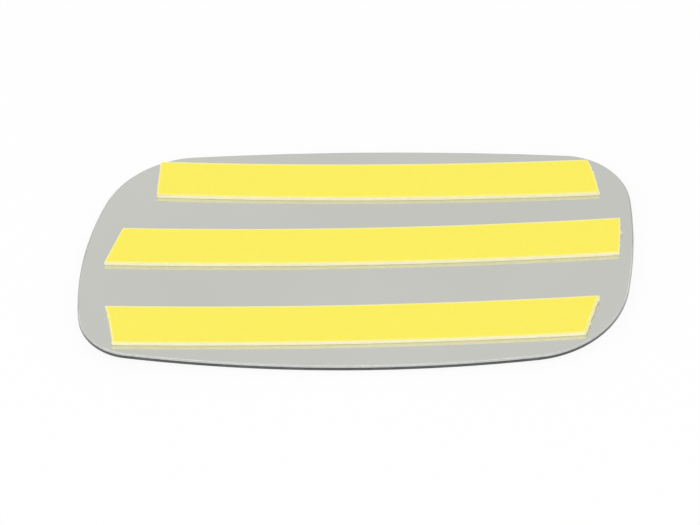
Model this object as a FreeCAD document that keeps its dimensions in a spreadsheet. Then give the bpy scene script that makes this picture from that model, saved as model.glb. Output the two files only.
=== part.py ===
"""Stick-on mirror glass for a vehicle's door mirror, lying with its back up.

A convex pane, spherical on both faces, carries a reflective coating on its concave back.
Three strips of double-sided foam tape run along the back, each a stack of four layers:
plate-side adhesive, foam core, outer adhesive and a peel-off release liner.

Frame: +Z up, origin at the lowest point of the convex front, midway along the outline's
length (X) and height (Y). Every curved face is part of a sphere about one shared centre,
so each layer lies flat on the one below it.
"""

import FreeCAD, Part
import math
import os

import Sketcher

# ---------------------------------------------------------------- driving dimensions, mm
SIZES = [
    # the outline, seen from the back: four long sides joined by four corners
    ("pane_length", 179.0, "outline, left to right"),
    ("pane_height", 93.0, "outline, bottom to top"),
    ("top_radius", 605.0, "long top side"),
    ("top_crown", 8.0, "X of the top side's highest point"),
    ("bottom_radius", 615.0, "long bottom side"),
    ("bottom_crown", -8.5, "X of the bottom side's lowest point"),
    ("left_radius", 105.0, "left side"),
    ("left_crown", -13.5, "Y of the left side's outermost point"),
    ("right_radius", 155.0, "right side"),
    ("right_crown", 18.5, "Y of the right side's outermost point"),
    ("top_left_corner", 34.0, "corner radius"),
    ("top_right_corner", 22.0, "corner radius"),
    ("bottom_right_corner", 35.0, "corner radius"),
    ("bottom_left_corner", 17.5, "corner radius"),
    # the pane
    ("mirror_radius", 1400.0, "radius of the convex front face"),
    ("glass_thickness", 2.0, "pane, front to back"),
    ("back_bevel", 0.45, "ground bevel round the back edge"),
    ("front_bevel", 0.30, "ground bevel round the front edge"),
    ("coating_thickness", 0.05, "reflective coating with its lacquer"),
    ("coating_margin", 0.05, "bare glass between the bevel and the coating"),
    # the tape
    ("tape_width", 15.0, "every strip"),
    ("adhesive_thickness", 0.08, "each adhesive coat"),
    ("foam_thickness", 1.30, "foam core"),
    ("liner_gap", 0.02, "running clearance under a liner"),
    ("liner_thickness", 0.10, "release liner"),
    # where each strip lies, tied to the pane: how far its long edge stays from the pane's
    # long side at X = 0, its tilt in degrees, and how far each corner stays from the pane's
    # end, measured along the strip, because each end is cut by hand
    ("upper_margin", 7.4, "pane's top to the strip's upper edge"),
    ("upper_tilt", 0.2, "degrees"),
    ("upper_left_top", 22.9, "corner to the pane's left end"),
    ("upper_left_bottom", 22.3, "corner to the pane's left end"),
    ("upper_right_top", 12.9, "corner to the pane's right end"),
    ("upper_right_bottom", 10.3, "corner to the pane's right end"),
    ("middle_offset", 3.2, "centre line above the pane's mid-height"),
    ("middle_tilt", 1.45, "degrees"),
    ("middle_left_top", 12.6, "corner to the pane's left end"),
    ("middle_left_bottom", 7.4, "corner to the pane's left end"),
    ("middle_right_top", 4.3, "corner to the pane's right end"),
    ("middle_right_bottom", 6.2, "corner to the pane's right end"),
    ("lower_margin", 9.2, "pane's bottom to the strip's lower edge"),
    ("lower_tilt", 1.7, "degrees"),
    ("lower_left_top", 9.7, "corner to the pane's left end"),
    ("lower_left_bottom", 12.6, "corner to the pane's left end"),
    ("lower_right_top", 14.0, "corner to the pane's right end"),
    ("lower_right_bottom", 19.9, "corner to the pane's right end"),
]

STRIPS = ["upper", "middle", "lower"]

# Depths of the layers' faces, measured inwards from the convex front: each is the sum of
# the sizes named, so a layer starts where the one before it ends.
PANE_FRONT = []
PANE_BACK = ["glass_thickness"]
COATING_BACK = PANE_BACK + ["coating_thickness"]
INNER_ADHESIVE_BACK = COATING_BACK + ["adhesive_thickness"]
FOAM_BACK = INNER_ADHESIVE_BACK + ["foam_thickness"]
OUTER_ADHESIVE_BACK = FOAM_BACK + ["adhesive_thickness"]
LINER_FRONT = OUTER_ADHESIVE_BACK + ["liner_gap"]
LINER_BACK = LINER_FRONT + ["liner_thickness"]

TAPE_LAYERS = [
    ("inner_adhesive", COATING_BACK, INNER_ADHESIVE_BACK),
    ("foam_core", INNER_ADHESIVE_BACK, FOAM_BACK),
    ("outer_adhesive", FOAM_BACK, OUTER_ADHESIVE_BACK),
    ("release_liner", LINER_FRONT, LINER_BACK),
]

SAME_SPOT = 1e-3  # mm: how near an edge must be to a sphere to count as lying on it
UNCUT_SHARE = 0.99  # a groove that leaves more than this of the stock has cut nothing
CENTRE_POINT = 3  # the constraint solver's number for an arc's centre
START, END = 1, 2

doc = FreeCAD.newDocument("StickOnMirrorGlass")


def make_sheet():
    """The spreadsheet that holds every driving dimension."""
    sheet = doc.addObject("Spreadsheet::Sheet", "Sizes")
    for row, (alias, value, meaning) in enumerate(SIZES, start=1):
        sheet.set(f"A{row}", meaning)
        sheet.set(f"B{row}", str(value))
        sheet.setAlias(f"B{row}", alias)
    doc.recompute()
    return sheet


sizes = make_sheet()


def size(alias):
    """A driving dimension as a number."""
    return float(getattr(sizes, alias))


# ---------------------------------------------------------------- sketch helpers
def new_sketch(body, name, plane_role):
    """A sketch on one of the body's own origin planes."""
    sketch = body.newObject("Sketcher::SketchObject", name)
    plane = next(f for f in body.Origin.OriginFeatures if f.Role == plane_role)
    sketch.AttachmentSupport = [(plane, "")]
    sketch.MapMode = "FlatFace"
    return sketch


def bind(sketch, constraint, expression):
    """Adds a constraint and ties its value to the spreadsheet."""
    index = sketch.addConstraint(constraint)
    sketch.setExpression(f"Constraints[{index}]", expression)


def fix_point(sketch, geometry, point, x_expression, y_expression, x_now, y_now):
    """Places a point from the sketch's origin."""
    bind(sketch, Sketcher.Constraint("DistanceX", -1, 1, geometry, point, x_now), x_expression)
    bind(sketch, Sketcher.Constraint("DistanceY", -1, 1, geometry, point, y_now), y_expression)


# ---------------------------------------------------------------- the pane's outline
def side_circles():
    """Centre and radius of the four long sides, clockwise from the top."""
    half_length = size("pane_length") / 2
    half_height = size("pane_height") / 2
    top, right = size("top_radius"), size("right_radius")
    bottom, left = size("bottom_radius"), size("left_radius")
    return [
        (size("top_crown"), half_height - top, top),
        (half_length - right, size("right_crown"), right),
        (size("bottom_crown"), bottom - half_height, bottom),
        (left - half_length, size("left_crown"), left),
    ]


def corner_centre(first, second, radius, outward):
    """Centre of the corner that touches both sides from inside: it lies where two circles
    cross, each shrunk by the corner's radius, on the side that faces outward."""
    (x1, y1, r1), (x2, y2, r2) = first, second
    reach_1, reach_2 = r1 - radius, r2 - radius
    apart = math.hypot(x2 - x1, y2 - y1)
    along = (reach_1**2 - reach_2**2 + apart**2) / (2 * apart)
    across = math.sqrt(reach_1**2 - along**2)
    ux, uy = (x2 - x1) / apart, (y2 - y1) / apart
    choices = [
        (x1 + ux * along - s * uy * across, y1 + uy * along + s * ux * across) for s in (1, -1)
    ]
    return max(choices, key=lambda c: c[0] * outward[0] + c[1] * outward[1])


def outline_arcs():
    """The outline's eight arcs as (x, y, radius), clockwise from the top side."""
    sides = side_circles()
    corners = [
        ("top_right_corner", (1, 1)),
        ("bottom_right_corner", (1, -1)),
        ("bottom_left_corner", (-1, -1)),
        ("top_left_corner", (-1, 1)),
    ]
    arcs = []
    for index, (alias, outward) in enumerate(corners):
        side, following = sides[index], sides[(index + 1) % 4]
        radius = size(alias)
        x, y = corner_centre(side, following, radius, outward)
        arcs += [side, (x, y, radius)]
    return arcs


def touch_point(arc, following):
    """Where two arcs meet: on the line through their centres, past the smaller one's."""
    large, small = (arc, following) if arc[2] > following[2] else (following, arc)
    dx, dy = small[0] - large[0], small[1] - large[1]
    stretch = large[2] / math.hypot(dx, dy)
    return large[0] + dx * stretch, large[1] + dy * stretch


def draw_outline(sketch, inset):
    """The pane's outline, drawn smaller all round by the inset, an expression."""
    arcs = outline_arcs()
    meets = [touch_point(arc, arcs[(i + 1) % 8]) for i, arc in enumerate(arcs)]
    for i, (x, y, radius) in enumerate(arcs):
        from_x, from_y = meets[i - 1]
        to_x, to_y = meets[i]
        # a sketch's arc runs anticlockwise, so it starts where the outline leaves it
        start = math.atan2(to_y - y, to_x - x)
        finish = math.atan2(from_y - y, from_x - x)
        circle = Part.Circle(FreeCAD.Vector(x, y, 0), FreeCAD.Vector(0, 0, 1), radius)
        sketch.addGeometry(Part.ArcOfCircle(circle, start, finish), False)

    for i in range(8):
        sketch.addConstraint(Sketcher.Constraint("Tangent", i, START, (i + 1) % 8, END))

    radii = [
        "top_radius", "top_right_corner", "right_radius", "bottom_right_corner",
        "bottom_radius", "bottom_left_corner", "left_radius", "top_left_corner",
    ]
    for i, alias in enumerate(radii):
        radius = Sketcher.Constraint("Radius", i, size(alias))
        bind(sketch, radius, f"Sizes.{alias} - ({inset})")

    centres = [
        (0, "Sizes.top_crown", "Sizes.pane_height / 2 - Sizes.top_radius"),
        (2, "Sizes.pane_length / 2 - Sizes.right_radius", "Sizes.right_crown"),
        (4, "Sizes.bottom_crown", "Sizes.bottom_radius - Sizes.pane_height / 2"),
        (6, "Sizes.left_radius - Sizes.pane_length / 2", "Sizes.left_crown"),
    ]
    for i, x_expression, y_expression in centres:
        x, y, _ = arcs[i]
        fix_point(sketch, i, CENTRE_POINT, x_expression, y_expression, x, y)


# ---------------------------------------------------------------- a strip's outline
def centre_line(strip):
    """Height of a strip's centre line at X = 0, as a number and as an expression."""
    half_height, half_width = size("pane_height") / 2, size("tape_width") / 2
    return {
        "upper": (
            half_height - size("upper_margin") - half_width,
            "Sizes.pane_height / 2 - Sizes.upper_margin - Sizes.tape_width / 2",
        ),
        "middle": (size("middle_offset"), "Sizes.middle_offset"),
        "lower": (
            size("lower_margin") + half_width - half_height,
            "Sizes.lower_margin + Sizes.tape_width / 2 - Sizes.pane_height / 2",
        ),
    }[strip]


def strip_corners(strip):
    """A strip's corners, anticlockwise from bottom left: the size that places each one, the
    end of the strip it is at (-1 left, 1 right) and its side of the centre line."""
    return [
        (f"{strip}_left_bottom", -1, -1),
        (f"{strip}_right_bottom", 1, -1),
        (f"{strip}_right_top", 1, 1),
        (f"{strip}_left_top", -1, 1),
    ]


def draw_strip(sketch, strip):
    """A straight band with its two ends cut at the strip's own angles."""
    tilt = math.radians(size(f"{strip}_tilt"))
    turn = f"Sizes.{strip}_tilt * 1 deg"
    half_length, half_width = size("pane_length") / 2, size("tape_width") / 2
    centre, centre_expression = centre_line(strip)
    corners = []
    for alias, end, side in strip_corners(strip):
        along, across = end * (half_length - size(alias)), side * half_width
        x = along * math.cos(tilt) - across * math.sin(tilt)
        y = centre + along * math.sin(tilt) + across * math.cos(tilt)
        along = f"({end}) * (Sizes.pane_length / 2 - Sizes.{alias})"
        across = f"({side}) * Sizes.tape_width / 2"
        x_expression = f"{along} * cos({turn}) - {across} * sin({turn})"
        y_expression = f"{centre_expression} + {along} * sin({turn}) + {across} * cos({turn})"
        corners.append((FreeCAD.Vector(x, y, 0), x_expression, y_expression))
    for i, (point, _, _) in enumerate(corners):
        sketch.addGeometry(Part.LineSegment(point, corners[(i + 1) % 4][0]), False)
    for i in range(4):
        sketch.addConstraint(Sketcher.Constraint("Coincident", i, END, (i + 1) % 4, START))
    for i, (point, x_expression, y_expression) in enumerate(corners):
        fix_point(sketch, i, START, x_expression, y_expression, point.x, point.y)


# ---------------------------------------------------------------- layers between two spheres
def depth_value(aliases):
    """A face's depth below the convex front, as a number."""
    return sum(size(alias) for alias in aliases)


def radius_expression(aliases):
    """The radius of the spherical face at that depth."""
    return " - ".join(["Sizes.mirror_radius"] + [f"Sizes.{alias}" for alias in aliases])


def draw_grinding(sketch, depth, above):
    """The profile that is turned about Z to grind one spherical face: all that lies above,
    or below, an arc about the spheres' shared centre."""
    centre = size("mirror_radius")
    radius = centre - depth_value(depth)
    reach = size("pane_length")
    far = reach if above else -reach
    start = FreeCAD.Vector(0, centre - radius, 0)
    rim = FreeCAD.Vector(reach, centre - math.sqrt(radius**2 - reach**2), 0)
    outer = FreeCAD.Vector(reach, far, 0)
    inner = FreeCAD.Vector(0, far, 0)

    circle = Part.Circle(FreeCAD.Vector(0, centre, 0), FreeCAD.Vector(0, 0, 1), radius)
    rim_angle = math.atan2(rim.y - centre, rim.x)
    sketch.addGeometry(Part.ArcOfCircle(circle, -math.pi / 2, rim_angle), False)
    for from_point, to_point in ((rim, outer), (outer, inner), (inner, start)):
        sketch.addGeometry(Part.LineSegment(from_point, to_point), False)

    arc, side, cap, axis = range(4)
    for first, point, following, its_point in (
        (arc, END, side, START),
        (side, END, cap, START),
        (cap, END, axis, START),
        (axis, END, arc, START),
    ):
        sketch.addConstraint(
            Sketcher.Constraint("Coincident", first, point, following, its_point)
        )
    sketch.addConstraint(Sketcher.Constraint("Vertical", side))
    sketch.addConstraint(Sketcher.Constraint("Horizontal", cap))
    radius_now = Sketcher.Constraint("Radius", arc, radius)
    bind(sketch, radius_now, radius_expression(depth))
    fix_point(sketch, arc, CENTRE_POINT, "0", "Sizes.mirror_radius", 0, centre)
    sketch.addConstraint(Sketcher.Constraint("PointOnObject", axis, START, -2))
    sketch.addConstraint(Sketcher.Constraint("PointOnObject", axis, END, -2))
    sign = "" if above else "-"
    fix_point(sketch, side, END, "Sizes.pane_length", f"{sign}Sizes.pane_length", reach, far)


def grind(body, depth, above):
    """Removes all of the body above, or below, the sphere at that depth."""
    before = body.Tip.Shape.Volume
    sketch = new_sketch(body, "BackFace" if above else "FrontFace", "XZ_Plane")
    draw_grinding(sketch, depth, above)
    groove = body.newObject("PartDesign::Groove", "GrindBack" if above else "GrindFront")
    groove.Profile = sketch
    groove.ReferenceAxis = (sketch, ["V_Axis"])
    groove.Angle = 360
    doc.recompute()
    if groove.Shape.isNull() or groove.Shape.Volume > before * UNCUT_SHARE:
        raise RuntimeError(f"{body.Label}: a spherical face was not cut")


def make_layer(label, draw, front, back):
    """A layer cut from stock to an outline, then ground to its two spherical faces."""
    body = doc.addObject("PartDesign::Body", label)
    body.Label = label
    outline = new_sketch(body, "Outline", "XY_Plane")
    draw(outline)
    pad = body.newObject("PartDesign::Pad", "Stock")
    pad.Profile = outline
    pad.SideType = "Symmetric"
    pad.setExpression("Length", "Sizes.pane_length")
    doc.recompute()
    grind(body, front, above=False)
    grind(body, back, above=True)
    return body


def rim_edges(shape, radius):
    """Names of the edges that lie on the sphere of that radius."""
    centre = FreeCAD.Vector(0, 0, size("mirror_radius"))
    names = []
    for number, edge in enumerate(shape.Edges, start=1):
        first, last = edge.ParameterRange
        spots = [edge.valueAt(first + (last - first) * share) for share in (0, 0.3, 0.6, 1)]
        if all(abs(spot.distanceToPoint(centre) - radius) < SAME_SPOT for spot in spots):
            names.append(f"Edge{number}")
    return names


def bevel(body, depth, alias, name):
    """The ground bevel round one face of the pane."""
    base = body.Tip
    radius = size("mirror_radius") - depth_value(depth)
    chamfer = body.newObject("PartDesign::Chamfer", name)
    chamfer.Base = (base, rim_edges(base.Shape, radius))
    chamfer.setExpression("Size", f"Sizes.{alias}")
    doc.recompute()


# ---------------------------------------------------------------- the pieces
def make_pane():
    """Convex glass with both edges bevelled."""
    pane = make_layer("glass_pane", lambda s: draw_outline(s, "0"), PANE_FRONT, PANE_BACK)
    bevel(pane, PANE_FRONT, "front_bevel", "FrontBevel")
    bevel(pane, PANE_BACK, "back_bevel", "BackBevel")
    return pane


def make_coating():
    """Reflective coating on the concave back, ending just short of the bevel."""
    inset = "Sizes.back_bevel + Sizes.coating_margin"
    return make_layer(
        "mirror_coating", lambda s: draw_outline(s, inset), PANE_BACK, COATING_BACK
    )


def make_tape(strip):
    """One strip of double-sided tape, as its four layers."""
    return [
        make_layer(f"{strip}_tape_{layer}", lambda s: draw_strip(s, strip), front, back)
        for layer, front, back in TAPE_LAYERS
    ]


def check_and_export(bodies):
    """Refuses a failed document, then writes one STEP file per piece."""
    for item in doc.Objects:
        if "Invalid" in item.State or "Error" in item.State:
            raise RuntimeError(f"{item.Label} failed: {item.State}")
    os.makedirs("parts", exist_ok=True)
    for body in bodies:
        shape = body.Shape
        if shape.isNull() or not shape.isValid() or len(shape.Solids) != 1:
            raise RuntimeError(f"{body.Label} is not one sound solid")
        shape.exportStep(f"parts/{body.Label}.step")
        box = shape.BoundBox
        print(
            f"{body.Label}: {shape.Volume:.1f} mm3,"
            f" X {box.XMin:.2f}..{box.XMax:.2f}, Y {box.YMin:.2f}..{box.YMax:.2f},"
            f" Z {box.ZMin:.2f}..{box.ZMax:.2f}"
        )


pieces = [make_pane(), make_coating()]
for strip_name in STRIPS:
    pieces += make_tape(strip_name)
check_and_export(pieces)
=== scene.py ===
# %% [markdown]
# # A stick-on door-mirror glass, lying with its back up
#
# The object is a convex glass pane with a metal coating on its hollow back, and three strips
# of foam tape whose yellow release liners are still on. The CAD model gives every piece its
# size and place. This script loads it as a fixed frame and gives each piece its finished
# surface: spheres that stay smooth in a mirror, ground edges, hand-cut foam, and liners, one
# with a corner that has begun to lift.

# %% The imported frame
import math

import bpy
import numpy as np
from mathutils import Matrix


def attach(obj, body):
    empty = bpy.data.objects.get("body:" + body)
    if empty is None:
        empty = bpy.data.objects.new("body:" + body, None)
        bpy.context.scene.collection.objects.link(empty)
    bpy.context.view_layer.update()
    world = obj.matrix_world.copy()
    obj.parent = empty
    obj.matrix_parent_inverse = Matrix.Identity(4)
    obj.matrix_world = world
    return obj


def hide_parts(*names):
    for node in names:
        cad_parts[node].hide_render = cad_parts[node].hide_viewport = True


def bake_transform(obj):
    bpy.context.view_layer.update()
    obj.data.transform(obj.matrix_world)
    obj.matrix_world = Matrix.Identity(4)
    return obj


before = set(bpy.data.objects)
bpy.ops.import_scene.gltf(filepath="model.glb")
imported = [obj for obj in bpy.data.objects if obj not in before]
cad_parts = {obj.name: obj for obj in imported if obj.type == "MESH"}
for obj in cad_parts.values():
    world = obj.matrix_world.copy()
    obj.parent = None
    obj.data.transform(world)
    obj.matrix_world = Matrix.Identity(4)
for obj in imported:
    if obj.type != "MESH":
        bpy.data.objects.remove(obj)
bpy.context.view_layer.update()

# %% [markdown]
# ## Driving dimensions
#
# Lengths are in millimetres here, as on a drawing, and become metres only when a mesh is
# written. Each layer is named by its depth below the convex front, because all the curved
# faces are spheres about one shared centre: a layer is the space between two depths.

# %% Dimensions of the pane and the tape
MM = 0.001
PANE_LENGTH = 179.0
PANE_HEIGHT = 93.0
MIRROR_RADIUS = 1400.0
GLASS = 2.0
BACK_BEVEL = 0.45
FRONT_BEVEL = 0.30
COATING = 0.05
COATING_MARGIN = 0.05
TAPE_WIDTH = 15.0
ADHESIVE = 0.08
FOAM = 1.30
LINER_GAP = 0.02
LINER = 0.10

COATING_BACK = GLASS + COATING
FOAM_FRONT = COATING_BACK + ADHESIVE
FOAM_BACK = FOAM_FRONT + FOAM
OUTER_BACK = FOAM_BACK + ADHESIVE
LINER_FRONT = OUTER_BACK + LINER_GAP
LINER_BACK = LINER_FRONT + LINER

# the outer strips keep a margin from the pane's long sides
UPPER_MARGIN = 7.4
LOWER_MARGIN = 9.2
UPPER_CENTRE = PANE_HEIGHT / 2 - UPPER_MARGIN - TAPE_WIDTH / 2
LOWER_CENTRE = LOWER_MARGIN + TAPE_WIDTH / 2 - PANE_HEIGHT / 2

# each strip's centre line at X = 0, its tilt in degrees, and how far its near and far corners
# stay from the pane's left end and right end, measured along the strip
STRIPS = {
    "upper": dict(centre=UPPER_CENTRE, tilt=0.2, left=(22.3, 22.9), right=(10.3, 12.9)),
    "middle": dict(centre=3.2, tilt=1.45, left=(7.4, 12.6), right=(6.2, 4.3)),
    "lower": dict(centre=LOWER_CENTRE, tilt=1.7, left=(12.6, 9.7), right=(19.9, 14.0)),
}
print("tape, plate to liner", round(LINER_BACK - COATING_BACK, 3), "mm")

# %% [markdown]
# ## Spheres and uneven lines
#
# Two small helpers serve every piece. The first gives a sphere's height straight from its
# formula, because a face shaped by hand would show waves in the reflections. The second gives
# the small wander that hand work leaves. Its seed is fixed, so the object comes out the same
# each time.

# %% Sphere and wander
SEED = 7
rng = np.random.default_rng(SEED)


def height(depth, x, y):
    """Height of the sphere at that depth: the centre's height less the root of the sphere's
    radius squared, less x squared and y squared."""
    radius = MIRROR_RADIUS - depth
    return MIRROR_RADIUS - np.sqrt(radius**2 - x**2 - y**2)


def smooth_noise(count, knots):
    """A wandering line between -1 and 1: random heights at evenly spaced knots, joined by
    half cosine waves. The last knot repeats the first, so a closed outline has no step."""
    levels = rng.uniform(-1, 1, knots)
    place = np.arange(count) * knots / count
    left = place.astype(int)
    ease = (1 - np.cos(np.pi * (place - left))) / 2
    return levels[left] * (1 - ease) + levels[(left + 1) % knots] * ease


print("ends above the middle", round(height(GLASS, PANE_LENGTH / 2, 0) - GLASS, 2), "mm")

# %% [markdown]
# ## From grids to meshes
#
# Every piece here is a closed skin made of rows of points. One helper joins neighbouring rows
# with four-sided faces, measures the volume they enclose, and turns all the faces round when
# that comes out negative, so they always point outwards.

# %% The mesh helper
SHARP_ANGLE = math.radians(28)
UV_LENGTH = 100.0
UV_START = 1


def signed_volume(points, quads):
    """Six times the enclosed volume: each triangle's corners as a triple product, summed."""
    total = 0.0
    for corners in ((0, 1, 2), (0, 2, 3)):
        a, b, c = (points[quads[:, k]] for k in corners)
        total += np.einsum("ij,ij->", a, np.cross(b, c))
    return total


def make_piece(name, points, quads, slots=None, plan=None):
    """A mesh object from points in millimetres and four-cornered faces. A face that uses a
    point twice is a triangle at a pole. Plan coordinates become the UV map."""
    points = np.asarray(points, float)
    if signed_volume(points, quads) < 0:
        quads = quads[:, ::-1]
    faces = [list(dict.fromkeys(face)) for face in quads.tolist()]
    mesh = bpy.data.meshes.new(name)
    mesh.from_pydata((points * MM).tolist(), [], faces)
    if slots is not None:
        mesh.polygons.foreach_set("material_index", np.asarray(slots, np.int32))
    layer = mesh.uv_layers.new(name="Plan")
    corner = np.zeros(len(mesh.loops), np.int32)
    mesh.loops.foreach_get("vertex_index", corner)
    flat = points[:, :2] if plan is None else plan
    layer.data.foreach_set("uv", (flat[corner] / UV_LENGTH + UV_START).ravel())
    mesh.polygons.foreach_set("use_smooth", np.ones(len(mesh.polygons), bool))
    mesh.set_sharp_from_angle(angle=SHARP_ANGLE)
    mesh.validate()
    mesh.update()
    piece = bpy.data.objects.new(name, mesh)
    bpy.context.scene.collection.objects.link(piece)
    low, high = points.min(0), points.max(0)
    print(name, len(mesh.polygons), "faces", low.round(2), high.round(2))
    return piece


# %% [markdown]
# ## The outline
#
# The pane's edge is four long arcs joined by four corner arcs. A corner's centre lies where
# two side circles cross once each is shrunk by the corner's radius. Arcs are better than a
# traced curve here, because they give an exact normal at each point, and an inset outline is
# then just a step along it.

# %% The outline as arcs
SIDES = [
    (8.0, PANE_HEIGHT / 2 - 605.0, 605.0),
    (PANE_LENGTH / 2 - 155.0, 18.5, 155.0),
    (-8.5, 615.0 - PANE_HEIGHT / 2, 615.0),
    (105.0 - PANE_LENGTH / 2, -13.5, 105.0),
]
CORNERS = [(22.0, (1, 1)), (35.0, (1, -1)), (17.5, (-1, -1)), (34.0, (-1, 1))]
OUTLINE_STEP = 0.9


def corner_arc(first, second, radius, outward):
    """Where two shrunk side circles cross, on the side that faces outward."""
    (x1, y1, r1), (x2, y2, r2) = first, second
    reach_1, reach_2 = r1 - radius, r2 - radius
    apart = math.hypot(x2 - x1, y2 - y1)
    along = (reach_1**2 - reach_2**2 + apart**2) / (2 * apart)
    across = math.sqrt(reach_1**2 - along**2)
    ux, uy = (x2 - x1) / apart, (y2 - y1) / apart
    found = [
        (x1 + ux * along - s * uy * across, y1 + uy * along + s * ux * across) for s in (1, -1)
    ]
    return (*max(found, key=lambda c: c[0] * outward[0] + c[1] * outward[1]), radius)


def meeting_angle(arc, following):
    """Direction from both centres to the point where two arcs touch."""
    large, small = (arc, following) if arc[2] > following[2] else (following, arc)
    return math.atan2(small[1] - large[1], small[0] - large[0])


def outline():
    """Points and outward normals round the edge, clockwise: on each arc, the centre plus the
    radius times the unit vector of an angle that falls evenly from one meeting to the next."""
    arcs = []
    for i, (radius, outward) in enumerate(CORNERS):
        arcs += [SIDES[i], corner_arc(SIDES[i], SIDES[(i + 1) % 4], radius, outward)]
    points, normals = [], []
    for i, (x, y, radius) in enumerate(arcs):
        start = meeting_angle(arcs[i - 1], arcs[i])
        turn = (start - meeting_angle(arcs[i], arcs[(i + 1) % 8])) % (2 * math.pi)
        count = max(6, round(radius * turn / OUTLINE_STEP))
        angle = start - turn * np.arange(count) / count
        normal = np.stack([np.cos(angle), np.sin(angle)], -1)
        normals.append(normal)
        points.append(np.array([x, y]) + radius * normal)
    return np.concatenate(points), np.concatenate(normals)


EDGE, EDGE_NORMAL = outline()
print("outline", len(EDGE), "points", EDGE.min(0).round(2), EDGE.max(0).round(2))

# %% [markdown]
# ## Dishes
#
# The pane and its coating are both dishes: a back face, an edge and a front face. Each is a
# stack of rings. A ring on a face is the outline scaled towards the middle, and a ring on the
# edge is the outline stepped inwards by an inset. Both ends close in one shared point.

# %% The dish surface
FACE_RINGS = 44


def dish(name, edge_rings):
    """A closed skin. Face rings are the nearest edge ring times a share from 0 to 1, laid on
    that ring's sphere, and each edge ring is a point's place less its normal times an inset.
    edge_rings runs from the back to the front as (inset, depth, material slot beyond it)."""
    count = len(EDGE)
    shares = np.linspace(0, 1, FACE_RINGS + 1)[1:-1]
    rings, slots = [], []
    laid = [(EDGE - EDGE_NORMAL * np.reshape(inset, (-1, 1)), depth) for inset, depth, _ in edge_rings]
    for share in shares:
        rings.append((laid[0][0] * share, laid[0][1]))
        slots.append(0)
    for (plan, depth), (_, _, slot) in zip(laid, edge_rings):
        rings.append((plan, depth))
        slots.append(slot)
    for share in shares[::-1]:
        rings.append((laid[-1][0] * share, laid[-1][1]))
        slots.append(0)
    sheets = [np.column_stack([plan, height(depth, *plan.T)]) for plan, depth in rings]
    back_pole = [0, 0, height(laid[0][1], 0, 0)]
    front_pole = [0, 0, height(laid[-1][1], 0, 0)]
    points = np.vstack([[back_pole], *sheets, [front_pole]])
    ring = np.arange(count)
    after = (ring + 1) % count
    rows = np.arange(len(rings))[:, None] * count + 1
    walls = np.stack(
        [rows[:-1] + ring, rows[:-1] + after, rows[1:] + after, rows[1:] + ring], -1
    ).reshape(-1, 4)
    zero = np.zeros(count, int)
    first = np.stack([zero, zero, 1 + after, 1 + ring], -1)
    base = rows[-1, 0]
    last_point = zero + len(points) - 1
    last = np.stack([base + ring, base + after, last_point, last_point], -1)
    face_slots = np.concatenate([zero, np.repeat(slots[:-1], count), zero])
    return make_piece(name, points, np.vstack([first, walls, last]), face_slots)


print("rings on a face", FACE_RINGS - 1)

# %% [markdown]
# ## The glass pane
#
# The edge of a cut mirror is ground on a wet belt: a wide bevel at the back, a narrow one at
# the front and a flat between them. The belt never holds quite still, so the bevel's width
# wanders by a few hundredths of a millimetre, and the corner where it meets the flat, the
# arris, is taken off. The polished faces, the ground bevels and the flat have a slot each.

# %% Make the pane
BACK_WANDER = 0.035
FRONT_WANDER = 0.025
ARRIS = 0.03
POLISHED, GROUND, FLAT = range(3)

edge_count = len(EDGE)
back_width = BACK_BEVEL + BACK_WANDER * smooth_noise(edge_count, 90)
front_width = FRONT_BEVEL + FRONT_WANDER * smooth_noise(edge_count, 110)
pane = dish(
    "pane_glass",
    [
        (back_width, GLASS, GROUND),
        (ARRIS, GLASS - BACK_BEVEL + ARRIS, FLAT),
        (0.0, GLASS - BACK_BEVEL - ARRIS, FLAT),
        (0.0, FRONT_BEVEL + ARRIS, FLAT),
        (ARRIS, FRONT_BEVEL - ARRIS, GROUND),
        (front_width, 0.0, POLISHED),
    ],
)

# %% [markdown]
# ## The metal coating
#
# The metal is a film on the hollow back. It reaches 0.005 mm into the glass, so light that
# comes through the pane meets the metal itself, with no film of air between to add a second
# reflection.

# %% Make the coating
OVERLAP = 0.005
COATING_WANDER = 0.03
FEATHER = 0.03
FEATHER_DEPTH = 0.02

coating_inset = BACK_BEVEL + COATING_MARGIN + COATING_WANDER * smooth_noise(edge_count, 70)
coating = dish(
    "pane_coating",
    [
        (coating_inset + FEATHER, COATING_BACK, 0),
        (coating_inset, COATING_BACK - FEATHER_DEPTH, 0),
        (coating_inset, GLASS - OVERLAP, 0),
    ],
)

# %% [markdown]
# ## Layers of tape
#
# A strip is a slab between two depths. Its plan is a grid: one parameter runs along the strip
# between the two end cuts, the other across it. A box would be simpler, but the ends were cut
# by hand, and a grid's end can follow any cut. The back of the slab and its front can have
# different cuts, which gives a torn, leaning end.

# %% The plan of a strip
ALONG = 150
ACROSS = 84


def strip_plan(strip, left_extra, right_extra, widen=(0.0, 0.0)):
    """Plan points of a strip: along runs from the left cut to the right cut, in half a cosine
    wave's steps, which are finest at the cuts, and across from the near edge to the far one.
    Both turn by the strip's tilt."""
    made = STRIPS[strip]
    t = np.linspace(-1, 1, ACROSS)
    share = (1 - np.cos(np.linspace(0, math.pi, ALONG)))[:, None] / 2
    left = np.interp(t, [-1, 1], made["left"]) - PANE_LENGTH / 2 + left_extra
    right = PANE_LENGTH / 2 - np.interp(t, [-1, 1], made["right"]) + right_extra
    along = left + (right - left) * share
    near, far = widen
    across = np.interp(t, [-1, 1], [-TAPE_WIDTH / 2 - near, TAPE_WIDTH / 2 + far])
    across = np.broadcast_to(across, along.shape)
    turn = math.radians(made["tilt"])
    x = along * math.cos(turn) - across * math.sin(turn)
    y = made["centre"] + along * math.sin(turn) + across * math.cos(turn)
    return np.stack([x, y], -1), np.stack([along, across], -1)


print("a strip's grid is", ALONG, "points long and", ACROSS, "across")
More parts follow.
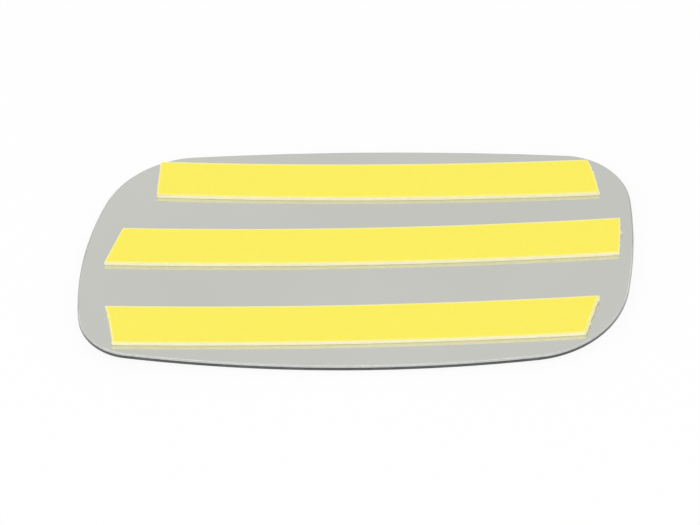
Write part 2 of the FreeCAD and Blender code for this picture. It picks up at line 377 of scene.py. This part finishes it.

# %% [markdown]
# ### The rim of a layer
#
# A cut layer looks different at its border. On the liner a pale border stands for the paper's
# core, which the blade has laid open on the wall, and for a painted highlight along the edge of
# the face. Each point gets a number that is 1 at the border and 0 a little way inside, and a
# finish can read it. A painted image could do the same, but a number worked out from the grid
# follows every cut by itself.

# %% The rim
HIGHLIGHT_RIM_WIDTH = 0.55


def rim_numbers():
    """Numbers of the grid's border points, once round."""
    grid = np.arange(ALONG * ACROSS).reshape(ALONG, ACROSS)
    return np.concatenate([grid[:-1, 0], grid[-1, :-1], grid[:0:-1, -1], grid[0, :0:-1]])


def highlight_rim_share(flat):
    """1 at a grid's border, falling evenly to 0 at the rim's width inside it."""
    along, across = flat[..., 0], flat[..., 1]
    inside = np.minimum.reduce(
        [along - along[:1], along[-1:] - along, across - across[:, :1], across[:, -1:] - across]
    )
    return np.clip(1 - inside / HIGHLIGHT_RIM_WIDTH, 0, 1).ravel()


print("rim", len(rim_numbers()), "points round,", HIGHLIGHT_RIM_WIDTH, "mm wide")

# %% [markdown]
# ### The slab itself
#
# Two faces and a wall right round them make a closed skin. The wall has several levels, so it
# can bulge, as foam does between two layers that hold it.

# %% The slab surface
WALL_LEVELS = 5


def laid_on(depth, plan, lift):
    """A plan's points on the sphere at that depth, raised by the lift."""
    plan = plan.reshape(-1, 2)
    return np.column_stack([plan, height(depth, *plan.T) + np.ravel(lift)])


def slab(name, back_plan, front_plan, back, front, flat, bulge=0.0, lift=0.0):
    """A closed slab. The back and front are the plan laid on two spheres. Between them the
    wall's point is a straight mix of both rims, pushed out by the bulge times a sine. The
    attribute "rim" marks its border."""
    size = ALONG * ACROSS
    top = laid_on(back, back_plan, lift)
    low = laid_on(front, front_plan, lift)
    rim = rim_numbers()
    middle = top[rim].mean(0)[:2]
    following = np.roll(top[rim, :2], -1, 0) - np.roll(top[rim, :2], 1, 0)
    outward = np.stack([following[:, 1], -following[:, 0]], -1)
    outward /= np.linalg.norm(outward, axis=1, keepdims=True)
    outward *= np.sign(np.einsum("ij,ij->i", outward, top[rim, :2] - middle))[:, None]
    levels = [rim]
    extra = []
    for step in range(1, WALL_LEVELS):
        share = step / WALL_LEVELS
        level = top[rim] * (1 - share) + low[rim] * share
        level[:, :2] += outward * bulge * math.sin(math.pi * share)
        levels.append(2 * size + len(rim) * (step - 1) + np.arange(len(rim)))
        extra.append(level)
    levels.append(rim + size)
    points = np.vstack([top, low, *extra])
    grid = np.arange(size).reshape(ALONG, ACROSS)
    face = np.stack([grid[:-1, :-1], grid[1:, :-1], grid[1:, 1:], grid[:-1, 1:]], -1)
    face = face.reshape(-1, 4)
    walls = [
        np.stack([upper, lower, np.roll(lower, -1), np.roll(upper, -1)], -1)
        for upper, lower in zip(levels[:-1], levels[1:])
    ]
    grid_flat, flat = flat, flat.reshape(-1, 2)
    plan = np.vstack([flat, flat, *[flat[rim]] * (WALL_LEVELS - 1)])
    quads = np.vstack([face, face[:, ::-1] + size, *walls])
    piece = make_piece(name, points, quads, plan=plan)
    rim_value = np.ones(len(points), np.float32)
    rim_value[: 2 * size] = np.tile(highlight_rim_share(grid_flat), 2)
    attribute = piece.data.attributes.new("rim", "FLOAT", "POINT")
    attribute.data.foreach_set("value", rim_value)
    return piece


print("steps in a wall", WALL_LEVELS)

# %% [markdown]
# ## How each end was cut
#
# A knife or scissors never cuts foam quite straight. A wander is a smooth random line across
# the strip, and a bow makes the whole cut bulge. The foam stands out past the liner by
# stands_out, and its foot on the plate by a share of that. A thread of torn foam is (place
# across the strip from -1 near to 1 far, how far it stands out in millimetres, its half width
# as a share). Two ends also have a corner that is rounded off.

# %% The end cuts
CUTS = {
    ("upper", "left"): dict(wander=0.08, bow=0.0, stands_out=0.05, threads=[]),
    ("upper", "right"): dict(wander=0.10, bow=0.35, stands_out=0.1, threads=[(0.25, 0.4, 0.05)]),
    ("middle", "left"): dict(wander=0.08, bow=0.0, stands_out=0.05, threads=[]),
    ("middle", "right"): dict(wander=0.06, bow=0.1, stands_out=0.12, threads=[(0.18, 0.9, 0.04)]),
    ("lower", "left"): dict(wander=0.10, bow=-0.35, stands_out=0.25, threads=[]),
    ("lower", "right"): dict(
        wander=0.07,
        bow=0.0,
        stands_out=0.60,
        threads=[(0.77, 0.60, 0.035), (0.12, 0.10, 0.09), (-0.50, 0.75, 0.03)],
    ),
}
FRINGE = 0.10
FOOT = 0.75
LINER_WANDER = 0.03
WANDER_KNOTS, FRINGE_KNOTS, LINER_KNOTS = 9, 18, 30


def torn(t, places):
    """Sum of narrow bells: each is its length times exp(-((t - place) / width) squared)."""
    return sum(
        (reach * np.exp(-(((t - place) / width) ** 2)) for place, reach, width in places),
        np.zeros_like(t),
    )


def end_cut(strip, end):
    """Extra length outwards, in millimetres: the wander, plus the bow times 1 less t squared,
    plus the threads. Gives the foam's cut at its back, the liner's, and the foam's foot on the
    plate, which stands out less and has no threads."""
    cut = CUTS[strip, end]
    t = np.linspace(-1, 1, ACROSS)
    line = cut["wander"] * smooth_noise(ACROSS, WANDER_KNOTS) + cut["bow"] * (1 - t**2)
    fringe = cut["stands_out"] * (1 + FRINGE * smooth_noise(ACROSS, FRINGE_KNOTS))
    foam = line + fringe + torn(t, cut["threads"])
    liner = line + LINER_WANDER * smooth_noise(ACROSS, LINER_KNOTS)
    return foam, liner, line + FOOT * fringe


CORNER_ZONE = 0.12
ROUNDING = {("upper", "right"): (0.9, 0.0), ("upper", "left"): (0.0, 0.35)}


def rounded_corner(far_corner, near_corner):
    """How far an end steps back near its corners: the corner's size times the square of the
    share of the corner's zone that a point is into it."""
    t = np.linspace(-1, 1, ACROSS)
    far = np.clip((t - (1 - CORNER_ZONE)) / CORNER_ZONE, 0, 1) ** 2 * far_corner
    near = np.clip((-t - (1 - CORNER_ZONE)) / CORNER_ZONE, 0, 1) ** 2 * near_corner
    return far + near


print("cuts", len(CUTS), "with", sum(len(cut["threads"]) for cut in CUTS.values()), "threads")

# %% [markdown]
# ## The four layers of each strip
#
# Adhesive on the plate, foam, adhesive again and the liner. The inner adhesive is squeezed
# out a little under the far edge. The foam leans in towards the plate, which leaves the fine
# shaded line under it. One corner of the upper liner has begun to lift.

# %% Make the tape
SQUEEZE = 0.12
LEAN = 0.10
BULGE = 0.05
INNER_INSET = 0.02
OUTER_INSET = 0.03
OUTER_SHORT = 0.05
LINER_INSET = 0.04
LIFT = 0.32
LIFT_REACH = 6.0
LIFT_SLANT = 0.8


def corner_lift(flat):
    """Height of a lifted near left corner: the lift times the square of 1 less the share of
    its reach that a point is away from the corner. The slant makes it wider across."""
    along, across = flat[..., 0], flat[..., 1]
    away = np.hypot(along - along.min(), (across - across.min()) * LIFT_SLANT)
    return LIFT * np.clip(1 - away / LIFT_REACH, 0, 1) ** 2


def make_strip(strip):
    """Builds one strip and gives its pieces by layer."""
    cuts = {}
    for end, sign in (("left", -1), ("right", 1)):
        back = rounded_corner(*ROUNDING.get((strip, end), (0.0, 0.0)))
        cuts[end] = [sign * (cut - back) for cut in end_cut(strip, end)]
    foam_top, flat = strip_plan(strip, cuts["left"][0], cuts["right"][0])
    foot = (cuts["left"][2] + LEAN, cuts["right"][2] - LEAN)
    foam_low, _ = strip_plan(strip, *foot, (-LEAN, -LEAN))
    coat, _ = strip_plan(strip, *foot, (-INNER_INSET, SQUEEZE))
    left, right = cuts["left"][1], cuts["right"][1]
    film, film_flat = strip_plan(strip, left, right, (-LINER_INSET, -LINER_INSET))
    outer, _ = strip_plan(
        strip, left - OUTER_SHORT, right + OUTER_SHORT, (-OUTER_INSET, -OUTER_INSET)
    )
    lift = corner_lift(film_flat) if strip == "upper" else 0.0
    return {
        "inner": slab(f"{strip}_inner_coat", coat, coat, FOAM_FRONT, COATING_BACK, flat),
        "foam": slab(
            f"{strip}_foam", foam_top, foam_low, FOAM_BACK, FOAM_FRONT, flat, bulge=BULGE
        ),
        "outer": slab(f"{strip}_outer_coat", outer, outer, OUTER_BACK, FOAM_BACK, flat),
        "liner": slab(
            f"{strip}_liner_film", film, film, LINER_BACK, LINER_FRONT, film_flat, lift=lift
        ),
    }


tape = {strip: make_strip(strip) for strip in STRIPS}

# %% [markdown]
# ## Shared effects for the finishes
#
# Two small node groups give every finish its unevenness. "Mottle" is a noise stretched between
# two values, for roughness and bump. "Tint" is the same noise between two colours. Both take
# their coordinates as an input, because the tape reads its own flat plan, which keeps the
# pattern in place when a liner bends, and the pane reads object coordinates.


# %% The two node groups
def new_group(name, inputs, output):
    """An empty node group with its sockets."""
    group = bpy.data.node_groups.new(name, "ShaderNodeTree")
    for label, kind in inputs:
        group.interface.new_socket(label, in_out="INPUT", socket_type=kind)
    group.interface.new_socket(output[0], in_out="OUTPUT", socket_type=output[1])
    return group, group.nodes.new("NodeGroupInput"), group.nodes.new("NodeGroupOutput")


NOISE_LOW, NOISE_HIGH = 0.32, 0.68
NOISE_DETAIL = 3.0


def noise_share(group, entry):
    """A noise from 0 to 1, sharpened between two levels."""
    noise = group.nodes.new("ShaderNodeTexNoise")
    noise.inputs["Detail"].default_value = NOISE_DETAIL
    spread = group.nodes.new("ShaderNodeMapRange")
    spread.inputs["From Min"].default_value = NOISE_LOW
    spread.inputs["From Max"].default_value = NOISE_HIGH
    group.links.new(entry.outputs["Vector"], noise.inputs["Vector"])
    group.links.new(entry.outputs["Scale"], noise.inputs["Scale"])
    group.links.new(noise.outputs["Fac"], spread.inputs["Value"])
    return spread


PLACE = [("Vector", "NodeSocketVector"), ("Scale", "NodeSocketFloat")]
mottle, entry, leave = new_group(
    "Mottle", PLACE + [("Low", "NodeSocketFloat"), ("High", "NodeSocketFloat")],
    ("Value", "NodeSocketFloat"),
)
share = noise_share(mottle, entry)
mottle.links.new(entry.outputs["Low"], share.inputs["To Min"])
mottle.links.new(entry.outputs["High"], share.inputs["To Max"])
mottle.links.new(share.outputs["Result"], leave.inputs["Value"])

tint, entry, leave = new_group(
    "Tint", PLACE + [("First", "NodeSocketColor"), ("Second", "NodeSocketColor")],
    ("Colour", "NodeSocketColor"),
)
share = noise_share(tint, entry)
blend = tint.nodes.new("ShaderNodeMix")
blend.data_type = "RGBA"
COLOUR_A, COLOUR_B, COLOUR_RESULT = 6, 7, 2
tint.links.new(share.outputs["Result"], blend.inputs["Factor"])
tint.links.new(entry.outputs["First"], blend.inputs[COLOUR_A])
tint.links.new(entry.outputs["Second"], blend.inputs[COLOUR_B])
tint.links.new(blend.outputs[COLOUR_RESULT], leave.inputs["Colour"])
print("groups", [g.name for g in bpy.data.node_groups])

# %% [markdown]
# ## The finishes
#
# A finish is a Principled shader whose constants sit on its own sockets. The groups drive
# only what changes over the surface: colour, roughness and the height of a fine bump.


# %% The finish helper
def finish(name, colours, roughness, coordinates, scales, bump=None, rim=None, **constants):
    """A material. colours are two (r, g, b) mixed by noise, or None where Base_Color is plain.
    roughness is (low, high), scales are the noises' scales for colour and roughness, bump is
    (scale, metres). rim is a third colour, which shows where the "rim" attribute is 1."""
    material = bpy.data.materials.new(name)
    material.use_nodes = True
    nodes, links = material.node_tree.nodes, material.node_tree.links
    shader = nodes["Principled BSDF"]
    for socket, value in constants.items():
        shader.inputs[socket.replace("_", " ")].default_value = value
    place = nodes.new("ShaderNodeTexCoord").outputs[coordinates]

    def worn(group, scale, **values):
        node = nodes.new("ShaderNodeGroup")
        node.node_tree = group
        node.inputs["Scale"].default_value = scale
        for label, value in values.items():
            node.inputs[label].default_value = value
        links.new(place, node.inputs["Vector"])
        return node

    if colours is not None:
        first, second = ((*colour, 1.0) for colour in colours)
        shown = worn(tint, scales[0], First=first, Second=second).outputs["Colour"]
        links.new(shown, shader.inputs["Base Color"])
    # the rim colour paints the pale border: the paper's core on the cut wall, and a painted highlight
    # along the edge of the face
    if rim is not None:
        border = nodes.new("ShaderNodeAttribute")
        border.attribute_name = "rim"
        edging = nodes.new("ShaderNodeMix")
        edging.data_type = "RGBA"
        edging.inputs[COLOUR_B].default_value = (*rim, 1.0)
        links.new(border.outputs["Fac"], edging.inputs["Factor"])
        links.new(shown, edging.inputs[COLOUR_A])
        links.new(edging.outputs[COLOUR_RESULT], shader.inputs["Base Color"])
    gloss = worn(mottle, scales[1], Low=roughness[0], High=roughness[1])
    links.new(gloss.outputs["Value"], shader.inputs["Roughness"])
    if bump is not None:
        scale, distance = bump
        grain = worn(mottle, scale, Low=0.0, High=1.0)
        relief = nodes.new("ShaderNodeBump")
        relief.inputs["Distance"].default_value = distance
        links.new(grain.outputs["Value"], relief.inputs["Height"])
        links.new(relief.outputs["Normal"], shader.inputs["Normal"])
    print("finish", name)
    return material


# %% [markdown]
# ### Glass and its ground edge
#
# The faces are polished float glass. The belt leaves the bevels frosted and pale. The flat
# between them is finer, and one looks through it into the thickness of the pane, where little
# light comes back. That darkness is painted shade: a near-black colour, with the green of iron
# in the glass.

# %% Glass finishes
clear_glass = finish(
    "clear float glass", None, (0.0, 0.01), "Object", (8.0, 8.0),
    Base_Color=(0.98, 1.0, 0.99, 1.0), Transmission_Weight=1.0, IOR=1.52,
)
frosted = finish(
    "ground bevel", [(0.42, 0.43, 0.41), (0.51, 0.52, 0.50)], (0.45, 0.6), "Object",
    (700.0, 900.0), bump=(5000.0, 0.00002),
)
# painted shade: the flat's near-black colour stands in for the dark look into the glass's thickness,
# tinged green by the iron in the glass
painted_dark_edge = finish(
    "edge of the glass, painted dark", [(0.036, 0.042, 0.038), (0.065, 0.072, 0.066)], (0.22, 0.34),
    "Object", (260.0, 500.0), bump=(4000.0, 0.00001),
)
for material in (clear_glass, frosted, painted_dark_edge):
    pane.data.materials.append(material)

# %% [markdown]
# ### The metal
#
# A vapour-deposited film is smooth, a little grey and never quite even: handling leaves broad
# cloudy smears that show only as a change of a percent or two in colour and gloss.

# %% Metal finish
metal = finish(
    "bare metal film", [(0.748, 0.756, 0.706), (0.786, 0.795, 0.744)], (0.07, 0.12),
    "Object", (13.0, 60.0), Metallic=1.0,
)
coating.data.materials.append(metal)

# %% [markdown]
# ### Foam, adhesive and liner
#
# The foam is off-white with closed cells a tenth of a millimetre across. The adhesive on the
# plate has pressed out, and its tan is partly its own colour and partly painted shade for the
# dark line along the foot of the tape. The coat under the liner is still clear, so it takes the
# foam's colour. The liner is paper with a smooth yellow release face, so its gloss is satin.
# Its pale border is the paper's paler core on the cut wall and a painted highlight along the
# edge of its face.

# %% Tape finishes
foam_finish = finish(
    "closed-cell foam", [(0.955, 0.905, 0.585), (0.975, 0.935, 0.655)], (0.75, 0.9), "UV",
    (900.0, 600.0), bump=(1100.0, 0.00006),
)
# partly painted shade: the tan adhesive stands in for the shaded line along the tape's foot, as well
# as for the adhesive's own amber colour
tan_adhesive_and_shade = finish(
    "pressed-out adhesive, with painted shade", [(0.46, 0.40, 0.24), (0.58, 0.52, 0.33)], (0.25, 0.4), "UV",
    (120.0, 200.0), bump=(300.0, 0.00002),
)
clear_adhesive = finish(
    "clear tacky adhesive", [(0.88, 0.84, 0.54), (0.93, 0.90, 0.62)], (0.16, 0.3), "UV",
    (160.0, 260.0), bump=(220.0, 0.00003),
)
# rim: the pale border is the paper's core on the cut wall and a painted highlight along the edge of
# the face
liner_finish = finish(
    "yellow release liner", [(0.958, 0.838, 0.068), (0.964, 0.850, 0.076)], (0.36, 0.46),
    "UV", (40.0, 90.0), bump=(500.0, 0.000006), rim=(0.965, 0.925, 0.42),
)
LAYER_FINISH = {
    "inner": tan_adhesive_and_shade, "foam": foam_finish,
    "outer": clear_adhesive, "liner": liner_finish,
}
for layers in tape.values():
    for layer, piece in layers.items():
        piece.data.materials.append(LAYER_FINISH[layer])

# %% [markdown]
# ## Joining the pieces to the frame
#
# Everything but the liners is fixed to the glass. A liner could ride on its body like a stiff
# board, but a film doesn't swing like one, so a liner is left unjoined, with its place written
# into its mesh.


def settle(piece, node, body="mirror"):
    """Rides the piece on a body and hides the CAD node that it stands for."""
    if body is not None:
        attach(piece, body)
    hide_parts(node)


settle(pane, "glass_pane")
settle(coating, "mirror_coating")
LAYER_NODE = {
    "inner": ("inner_adhesive", "adhesive"), "foam": ("foam_core", "foam"),
    "outer": ("outer_adhesive", "adhesive"), "liner": ("release_liner", "liner"),
}
for strip, layers in tape.items():
    for layer, piece in layers.items():
        node, slot = LAYER_NODE[layer]
        settle(piece, f"{strip}_tape_{node}", None if layer == "liner" else "mirror")
    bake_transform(layers["liner"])

# %% [markdown]
# ## The studio
#
# A mirror shows what is around it, so the surround matters as much as the lamp. It is white,
# for reflections too. The surround could light everything by itself, but then foam and bevels
# look flat, so a large soft lamp adds a direction. Both together light an upward face at a
# plain level, where a colour renders as it is written.

# %% Studio helpers
scene = bpy.context.scene
scene.view_settings.view_transform = "Standard"


def plane(name, centre, across, up):
    """A flat four-cornered object from its middle and two half sides."""
    centre, across, up = (np.array(v, float) for v in (centre, across, up))
    corners = [centre - across - up, centre + across - up, centre + across + up, centre - across + up]
    mesh = bpy.data.meshes.new(name)
    mesh.from_pydata([tuple(c) for c in corners], [], [(0, 1, 2, 3)])
    piece = bpy.data.objects.new(name, mesh)
    scene.collection.objects.link(piece)
    print(name, "at", centre.round(5))
    return piece


def white_to_seen_rays(tree, plain, shown, amount):
    """Mixes a shader with a white one for camera, glossy and transmission rays, by amount."""
    path = tree.nodes.new("ShaderNodeLightPath")
    seen = path.outputs["Is Camera Ray"]
    for ray in ("Is Glossy Ray", "Is Transmission Ray"):
        either = tree.nodes.new("ShaderNodeMath")
        either.operation = "MAXIMUM"
        tree.links.new(seen, either.inputs[0])
        tree.links.new(path.outputs[ray], either.inputs[1])
        seen = either.outputs[0]
    part = tree.nodes.new("ShaderNodeMath")
    part.operation = "MULTIPLY"
    part.inputs[1].default_value = amount
    tree.links.new(seen, part.inputs[0])
    mix = tree.nodes.new("ShaderNodeMixShader")
    tree.links.new(part.outputs[0], mix.inputs[0])
    tree.links.new(plain, mix.inputs[1])
    tree.links.new(shown, mix.inputs[2])
    return mix.outputs[0]


# %% [markdown]
# ### The floor
#
# White paper, just under the glass. Only a share of it turns to plain white for the rays that
# are seen, so it keeps the shadow. It is clear from below, so that the mirror face can be
# looked at.

# %% Make the floor
FLOOR_DROP = 0.00003
FLOOR_HALF = 4
FLOOR_WHITE = 0.90
PAPER = (0.93, 0.93, 0.93, 1)
PAPER_ROUGHNESS = 0.9

floor = plane("floor", (0, 0, -FLOOR_DROP), (FLOOR_HALF, 0, 0), (0, FLOOR_HALF, 0))
paper = bpy.data.materials.new("white floor")
paper.use_nodes = True
tree = paper.node_tree
matt = tree.nodes["Principled BSDF"]
matt.inputs["Base Color"].default_value = PAPER
matt.inputs["Roughness"].default_value = PAPER_ROUGHNESS
glow = tree.nodes.new("ShaderNodeEmission")
mixed = white_to_seen_rays(tree, matt.outputs[0], glow.outputs[0], FLOOR_WHITE)
through = tree.nodes.new("ShaderNodeBsdfTransparent")
facing = tree.nodes.new("ShaderNodeNewGeometry")
one_way = tree.nodes.new("ShaderNodeMixShader")
tree.links.new(facing.outputs["Backfacing"], one_way.inputs[0])
tree.links.new(mixed, one_way.inputs[1])
tree.links.new(through.outputs[0], one_way.inputs[2])
tree.links.new(one_way.outputs[0], tree.nodes["Material Output"].inputs["Surface"])
floor.data.materials.append(paper)

# %% [markdown]
# ### The surround
#
# The world lights the object at one strength and is plain white where it is seen.

# %% Make the surround
SURROUND = 0.81
WHITE = (1, 1, 1, 1)

world = bpy.data.worlds.new("surround")
scene.world = world
world.use_nodes = True
tree = world.node_tree
soft = tree.nodes["Background"]
soft.inputs["Strength"].default_value = SURROUND
soft.inputs["Color"].default_value = WHITE
bright = tree.nodes.new("ShaderNodeBackground")
bright.inputs["Color"].default_value = WHITE
mixed = white_to_seen_rays(tree, soft.outputs[0], bright.outputs[0], 1.0)
tree.links.new(mixed, tree.nodes["World Output"].inputs["Surface"])
print("surround", SURROUND)

# %% [markdown]
# ### The grey board
#
# A mirror that shows only white looks white. A grey board on the far side, where the plate
# mirrors the camera, gives the metal its tone, as in a product studio. Painting the metal
# darker would be simpler, but then the foam's reflection in it would be too dark. Only
# reflections see the board, and it falls off a little towards the right.

# %% Make the board
CAMERA_ELEVATION = math.radians(48.65)
BOARD_DISTANCE = 1.1
BOARD_HALF = 0.75
BOARD_GREY = {"From Min": -0.5, "From Max": 0.5, "To Min": 0.745, "To Max": 0.70}

away = np.array([0.0, math.cos(CAMERA_ELEVATION), math.sin(CAMERA_ELEVATION)])
upward = np.array([0.0, -away[2], away[1]])
board = plane("board", away * BOARD_DISTANCE, (BOARD_HALF, 0, 0), upward * BOARD_HALF)
grey = bpy.data.materials.new("grey board")
grey.use_nodes = True
tree = grey.node_tree
tree.nodes.remove(tree.nodes["Principled BSDF"])
glow = tree.nodes.new("ShaderNodeEmission")
place = tree.nodes.new("ShaderNodeTexCoord")
split = tree.nodes.new("ShaderNodeSeparateXYZ")
fall = tree.nodes.new("ShaderNodeMapRange")
for socket, value in BOARD_GREY.items():
    fall.inputs[socket].default_value = value
tree.links.new(place.outputs["Object"], split.inputs["Vector"])
tree.links.new(split.outputs["X"], fall.inputs["Value"])
tree.links.new(fall.outputs["Result"], glow.inputs["Strength"])
tree.links.new(glow.outputs[0], tree.nodes["Material Output"].inputs["Surface"])
board.data.materials.append(grey)
board.visible_camera = False
board.visible_diffuse = False
board.visible_shadow = False
board.visible_transmission = False

# %% [markdown]
# ### The lamp
#
# A softbox two metres wide, over the near side. Its size keeps the shadows faint.

# %% Make the lamp
LAMP_PLACE = (-0.3, -1.15, 1.0)
LAMP_SIZE = 2.0
LAMP_POWER = 11.5

lamp_data = bpy.data.lights.new("softbox", "AREA")
lamp_data.size = LAMP_SIZE
lamp_data.energy = LAMP_POWER
lamp = bpy.data.objects.new("softbox", lamp_data)
lamp.location = LAMP_PLACE
lamp.rotation_euler = (-lamp.location).to_track_quat("-Z", "Y").to_euler()
scene.collection.objects.link(lamp)
print("lamp", LAMP_POWER, "W at", LAMP_PLACE)

# %% [markdown]
# ### The camera
#
# It looks down from a little more than half way up, straight across the plate, with no tilt to
# the side. A short lens close by would widen the near strip, so a long one stands further off.
# The board above stands square to its mirrored line of sight.

# %% Make the camera
CAMERA_DISTANCE = 0.632
LENS = 100.2
SENSOR_WIDTH = 36.0
AIM = np.array([-0.00319, -0.00116, 0.0])

camera_data = bpy.data.cameras.new("camera")
camera_data.lens = LENS
camera_data.sensor_width = SENSOR_WIDTH
camera = bpy.data.objects.new("camera", camera_data)
toward = np.array([0.0, -math.cos(CAMERA_ELEVATION), math.sin(CAMERA_ELEVATION)])
camera.location = AIM + CAMERA_DISTANCE * toward
camera.rotation_euler = (math.pi / 2 - CAMERA_ELEVATION, 0, 0)
scene.collection.objects.link(camera)
scene.camera = camera
print("camera", LENS, "mm at", tuple(round(c, 4) for c in camera.location))
